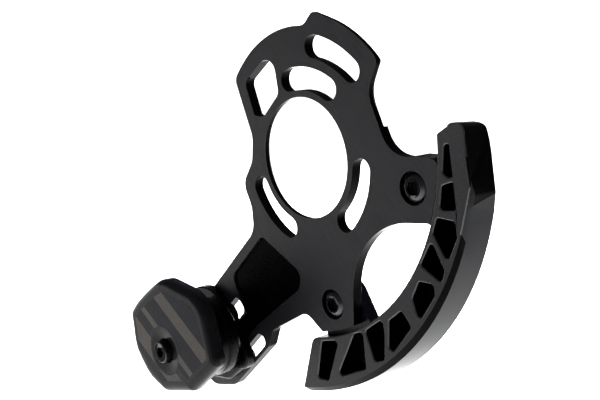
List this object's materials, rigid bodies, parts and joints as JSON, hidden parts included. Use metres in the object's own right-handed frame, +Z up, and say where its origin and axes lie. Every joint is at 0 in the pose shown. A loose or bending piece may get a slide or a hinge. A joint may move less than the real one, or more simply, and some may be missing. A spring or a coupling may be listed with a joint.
{
  "type": "bicycle chain guide",
  "caption": "flat slotted plate bolted round a bottom bracket, with a curved skid plate under the chainring and an adjustable lower guide with a roller",
  "frame": {"origin": "on the axis of the centre hole, in the front face of the back plate", "axes": "+X towards the front of the bicycle, +Z up, -Y outboard towards the chain side"},
  "size_m": [0.1494, 0.0432, 0.1574],
  "materials": {
    "plate_black": "satin black anodised",
    "skid_black": "satin black moulded polymer",
    "cap_grey": "satin dark grey printed polymer",
    "roller_black": "glossy black moulded polymer",
    "screw_black": "black oxide",
    "insert_brass": "plain turned",
    "plain_steel": "zinc plated",
    "bearing_steel": "ground",
    "spacer_alloy": "plain turned"
  },
  "bodies": {
    "base": {"backplate": "plate_black", "skid_plate": "skid_black", "skid_bolts": "screw_black", "skid_inserts": "insert_brass"},
    "lower_guide": {"guide_inner_plate": "plate_black", "guide_outer_plate": "cap_grey", "axle_bolt": "screw_black", "axle_nut": "plain_steel", "axle_spacers": "spacer_alloy", "bearing_inner_ring": "bearing_steel", "clamp_bolts": "screw_black", "clamp_washers": "plain_steel", "clamp_nuts": "plain_steel"},
    "guide_roller": {"roller": "roller_black", "bearing_outer_ring": "bearing_steel", "bearing_balls": "bearing_steel", "bearing_shields": "bearing_steel"}
  },
  "joints": [
    {"name": "lower_guide_adjust", "type": "slide", "parent": "base", "child": "lower_guide", "axis": [0.6728, 0, 0.7399], "range_m": [-0.0025, 0.012]},
    {"name": "roller_spin", "type": "hinge", "parent": "lower_guide", "child": "guide_roller", "pos_m": [-0.04683, -0.015, -0.0796], "axis": [0, -1, 0], "continuous": true}
  ]
}
